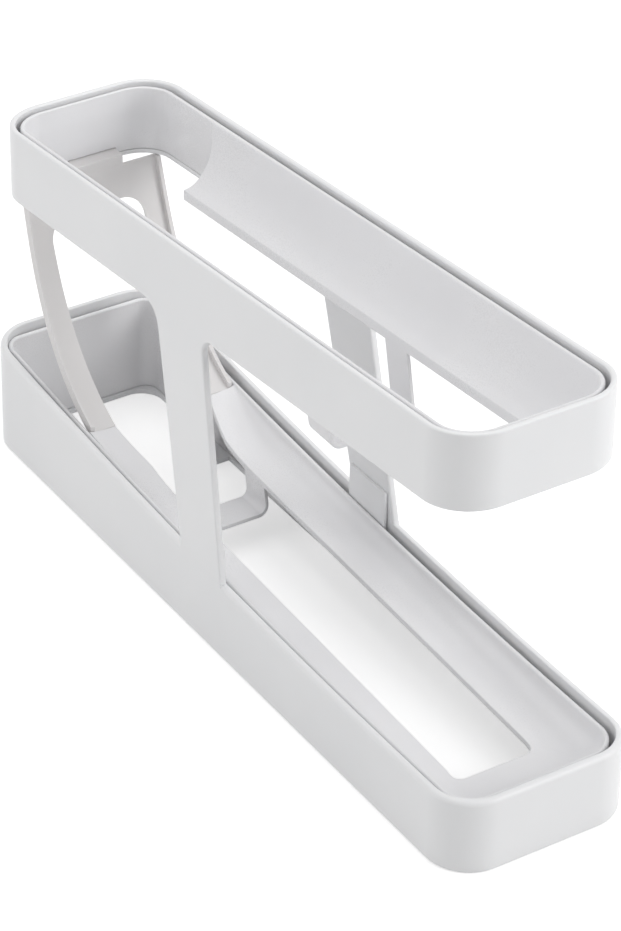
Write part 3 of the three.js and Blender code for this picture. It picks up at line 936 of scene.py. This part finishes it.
def lowerSkirt(x):
    # the same height all along, just over the band's flange
    return baseBand["flangeThickness"] + fit


def lowerFloor(x):
    entry = max(0, 1 - (x - lowerTray["back"]) / lowerTrack["entryLength"])
    run = (lowerTray["front"] - x) / (lowerTray["front"] - lowerTray["back"])
    return lowerTrack["floorFront"] + lowerTrack["fall"] * run + lowerTrack["entryDrop"] * entry ** 2


def lowerSlotInset(x):
    entry = max(0, 1 - (x - lowerTray["back"]) / lowerTrack["entryFlare"])
    slot = trayForm["slotWidth"] + (lowerTrack["entryWidth"] - trayForm["slotWidth"]) * entry
    return (lowerTray["width"] - slot) / 2


def addBackLip(bm):
    # behind the rails the lip runs on round the back end as a plain wall
    band = trayOutline(baseBand, baseBand["back"] + baseBand["wall"] + baseBand["groove"])
    band["corner"] = lowerTrack["backCorner"]
    start = band["back"] + band["corner"] + cutMargin
    roundedOutline(bm, band, evenly(start, lowerTray["back"], lowerTrack["backCuts"])[:-1])
    cutPlane(bm, (lowerTray["back"], 0, 0), (1, 0, 0), clear_outer=True)
    markHome(bm)
    wall = trayForm["wall"]
    rows = [row(0, lowerSkirt)] + lipRows(lowerLip)
    rows += [row(wall, lambda x: lowerLip(x) - trayForm["lip"]), row(wall, lowerSkirt)]
    sweepRows(bm, bm.edges[:], band, rows)
    closeHoles(bm)


def stretchFrontHollow(bm, band, rows):
    # round the front end the rail's hollow is drawn out towards the slot, and the lip stays
    home = bm.verts.layers.float_vector["home"]
    rowOf = bm.verts.layers.int["row"]
    for vert in bm.verts:
        place = vert[home].x
        if place > band["front"] - band["corner"] - tiny:
            insetAt = rows[vert[rowOf]][0]
            share = (insetAt(place) - trayForm["lip"]) / (lowerSlotInset(place) - trayForm["lip"])
            vert.co.x -= lowerTrack["frontHollow"] * max(share, 0)


def makeLowerTrack():
    bm = newMesh()
    band = dict(lowerTray, back=lowerTray["back"] - 2 * lowerTray["corner"])
    run = lowerTray["front"] - lowerTray["corner"] - lowerTrack["cutMargin"] - lowerTray["back"]
    shares = [k / lowerTrack["cuts"] for k in range(1, lowerTrack["cuts"] + 1)]
    cuts = [lowerTray["back"] + run * share ** lowerTrack["cutSpread"] for share in shares]
    roundedOutline(bm, band, cuts)
    cutPlane(bm, (lowerTray["back"], 0, 0), (1, 0, 0), clear_inner=True)
    markHome(bm)
    rows = trayRows(lowerLip, lowerFloor, lowerSkirt, lowerSlotInset, lowerTrack["slotLip"])
    sweepRows(bm, bm.edges[:], band, rows)
    stretchFrontHollow(bm, band, rows)
    closeHoles(bm)
    piece = meshObject(bm, "lower_track_tray")
    combine(piece, "UNION", lambda tool: addTie(tool, lowerTrack, lowerFloor))
    combine(piece, "UNION", addBackLip)
    dressPiece(piece, "lower_track", materials["trackPlastic"])


makeLowerTrack()


# the chute, from under the upper band's back end down to the lower tray
chuteForm = {
    "top": baseLow.x + 19,
    "foot": handOver,
    "topHalf": 31.5,
    "footHalf": 33.5,
    "thickness": 1.8,
    "edge": 1.6,
    "edgeHeight": 2.4,
    "slotHalf": 22,
    "slotTop": tierFoot(baseLow.x) - 12,
    "slotCorner": 10,
    "slotSteps": 10,
    "slotPast": 5,  # how far the slot's cutting tool reaches past the foot
    "steps": 48,
    "searchSteps": 30,
    "bendShares": {"topRun": 0.13, "topDrop": 0.29, "footRun": 0.71, "footDrop": 0.23},
}


def chuteControls():
    top = Vector((chuteForm["top"], tierFoot(chuteForm["top"]) - fit))
    foot = Vector((chuteForm["foot"], lowerFloor(lowerTray["back"])))
    run, drop = foot.x - top.x, top.y - foot.y
    bend = chuteForm["bendShares"]
    return (top, top + Vector((run * bend["topRun"], -drop * bend["topDrop"])),
            foot + Vector((-run * bend["footRun"], drop * bend["footDrop"])), foot)


def chutePoint(share, beside):
    # a point of the curve in X and Z, moved square to it: positive is towards the upper side
    a, b, c, d = chuteControls()
    rest = 1 - share
    point = a * rest ** 3 + b * 3 * rest ** 2 * share + c * 3 * rest * share ** 2 + d * share ** 3
    slope = ((b - a) * rest ** 2 + (c - b) * 2 * rest * share + (d - c) * share ** 2).normalized()
    return point + Vector((-slope.y, slope.x)) * beside


def chuteHeight(x, beside):
    # the curve's share at this X is found by halving
    low, high = 0.0, 1.0
    for _ in range(chuteForm["searchSteps"]):
        middle = (low + high) / 2
        if chutePoint(middle, beside).x < x:
            low = middle
        else:
            high = middle
    return chutePoint(low, beside).y


def placeChute(bm):
    # home holds a point's share along the curve, its side and its distance from the curve
    home = bm.verts.layers.float_vector["home"]
    top, foot = chutePoint(0, 0), chutePoint(1, 0)
    for vert in bm.verts:
        share, side, beside = vert[home]
        point = chutePoint(share, beside)
        half = chuteForm["topHalf"]
        half += (chuteForm["footHalf"] - half) * (top.y - point.y) / (top.y - foot.y)
        vert.co = (point.x, side + math.copysign(half - chuteForm["topHalf"], side), point.y)


def extrudeBeside(bm, region, distance):
    home = bm.verts.layers.float_vector["home"]
    for item in bmesh.ops.extrude_face_region(bm, geom=region)["geom"]:
        if isinstance(item, bmesh.types.BMVert):
            item[home] = (item[home].x, item[home].y, distance)


def addSlotTool(bm):
    low, half = baseBand["flangeThickness"], chuteForm["slotHalf"]
    addBlock(bm, (baseLow.x, -half, low),
             (chuteForm["foot"] + chuteForm["slotPast"], half, chuteForm["slotTop"]))
    corners = edgesAlong(bm, lambda place: place.z > low + tiny)
    roundEdges(bm, corners, chuteForm["slotCorner"], chuteForm["slotSteps"])


def addHook(bm):
    half = hook["width"] / 2
    low = tierFoot(chuteForm["top"]) - fit - chuteForm["thickness"]
    addBlock(bm, (chuteForm["top"] - chuteForm["thickness"], -half, low),
             (chuteForm["top"], half, hook["seat"] + hook["thickness"] / 2))


def addHookTip(bm):
    half = hook["width"] / 2
    addBlock(bm, (tierBand["back"] + tierBand["wall"] + fit, -half, hook["seat"]),
             (chuteForm["top"], half, hook["seat"] + hook["thickness"]), hook["edgeRound"])


def addLegs(bm):
    foot, outer = baseBand["flangeThickness"] + fit, chuteLeg["outer"]
    addPair(bm, (chuteLeg["back"], outer - chuteLeg["thickness"], foot),
            (chuteLeg["front"], outer, foot + chuteLeg["blankHeight"]))
    for x in evenly(chuteLeg["back"], chuteLeg["front"], chuteLeg["cuts"])[1:-1]:
        cutPlane(bm, (x, 0, 0), (1, 0, 0))
    for vert in bm.verts:
        if vert.co.z > foot + tiny:
            vert.co.z = chuteHeight(vert.co.x, -chuteForm["thickness"] / 2)


def addPegs(bm):
    middle = (chuteLeg["back"] + chuteLeg["front"]) / 2
    half = chuteLeg["pegWidth"] / 2
    outer = chuteLeg["outer"] - (chuteLeg["thickness"] - chuteLeg["pegThickness"]) / 2
    addPair(bm, (middle - half, outer - chuteLeg["pegThickness"], fit),
            (middle + half, outer, baseBand["flangeThickness"] + chuteLeg["pegRise"]))


def makeChute():
    bm = newMesh()
    bmesh.ops.create_grid(bm, x_segments=chuteForm["steps"], y_segments=1, size=0.5)
    bmesh.ops.translate(bm, vec=(0.5, 0, 0), verts=bm.verts[:])
    bmesh.ops.scale(bm, vec=(1, 2 * chuteForm["topHalf"], 1), verts=bm.verts[:])
    inner = chuteForm["topHalf"] - chuteForm["edge"]
    for y in (-inner, inner):
        cutPlane(bm, (0, y, 0), (0, 1, 0))
    markHome(bm)
    rims = [face for face in bm.faces if abs(face.calc_center_median().y) > inner]
    extrudeBeside(bm, bm.faces[:], -chuteForm["thickness"])
    rims += onceEach(edge for face in rims for edge in face.edges)
    extrudeBeside(bm, rims, chuteForm["edgeHeight"])
    placeChute(bm)
    bmesh.ops.recalc_face_normals(bm, faces=bm.faces[:])
    ends = ((0, 0, tierFoot(0) - fit), (-tierGrade, 0, 1)), ((chuteForm["foot"], 0, 0), (1, 0, 0))
    for place, normal in ends:
        cutPlane(bm, place, normal, clear_outer=True)
        closeHoles(bm)
    piece = meshObject(bm, "rear_chute_strip")
    combine(piece, "DIFFERENCE", addSlotTool)
    for draw in (addHook, addHookTip, addLegs, addPegs):
        combine(piece, "UNION", draw)
    dressPiece(piece, "rear_chute", materials["chutePlasticInPaintedShade"])


makeChute()


# floor, light and background
stageLook = {
    "floorHalf": 6,  # metres
    "floorTone": (0.75, 0.75, 0.75),
    "floorRoughness": 0.9,
    "floorLift": 0.5,
    "worldLight": 0.49,
    "aim": (0, 0, 0.09),  # the middle of the rack
    "lamps": {
        "key": {"place": (1.35, 1.05, 1.0), "size": 1.2, "power": 16.5},
        "fill": {"place": (-0.55, -1.4, 0.7), "size": 1.2, "power": 5.7},
        "top": {"place": (-0.5, 0.1, 1.65), "size": 1.4, "power": 8.2},
    },
}


def seenStraight(tree):
    # 1 where the camera, a reflection or clear glass looks at the surface, 0 where it lights the rack
    ray = tree.nodes.new("ShaderNodeLightPath")
    seen = mathNode(tree, "MAXIMUM", ray.outputs["Is Camera Ray"], ray.outputs["Is Glossy Ray"])
    return mathNode(tree, "MAXIMUM", seen, ray.outputs["Is Transmission Ray"])


def makeStage():
    bm = bmesh.new()
    bmesh.ops.create_grid(bm, x_segments=1, y_segments=1, size=stageLook["floorHalf"])
    mesh = bpy.data.meshes.new("floor")
    bm.to_mesh(mesh)
    bm.free()
    floor = bpy.data.objects.new("floor", mesh)
    bpy.context.scene.collection.objects.link(floor)
    material = bpy.data.materials.new("paleFloor")
    material.use_nodes = True
    tree = material.node_tree
    shader = tree.nodes["Principled BSDF"]
    shader.inputs["Base Color"].default_value = (*stageLook["floorTone"], 1)
    shader.inputs["Roughness"].default_value = stageLook["floorRoughness"]
    shader.inputs["Specular IOR Level"].default_value = 0
    lift = mathNode(tree, "MULTIPLY", seenStraight(tree), stageLook["floorLift"])
    shader.inputs["Emission Color"].default_value = (1, 1, 1, 1)
    tree.links.new(lift, shader.inputs["Emission Strength"])
    mesh.materials.append(material)


def makeWorld():
    world = bpy.data.worlds.new("studio")
    bpy.context.scene.world = world
    world.use_nodes = True
    tree = world.node_tree
    background = tree.nodes["Background"]
    background.inputs["Color"].default_value = (1, 1, 1, 1)
    strength = remap(tree, seenStraight(tree), 0.0, 1.0, stageLook["worldLight"], 1.0)
    tree.links.new(strength, background.inputs["Strength"])


def makeLamps():
    for name, lamp in stageLook["lamps"].items():
        data = bpy.data.lights.new(name, "AREA")
        data.shape = "SQUARE"
        data.size = lamp["size"]
        data.energy = lamp["power"]
        light = bpy.data.objects.new(name, data)
        bpy.context.scene.collection.objects.link(light)
        place = Vector(lamp["place"])
        light.location = place
        aim = Vector(stageLook["aim"]) - place
        light.rotation_euler = aim.to_track_quat("-Z", "Y").to_euler()


makeStage()
makeWorld()
makeLamps()
bpy.context.scene.view_settings.view_transform = "Standard"
print("stage and lamps set")
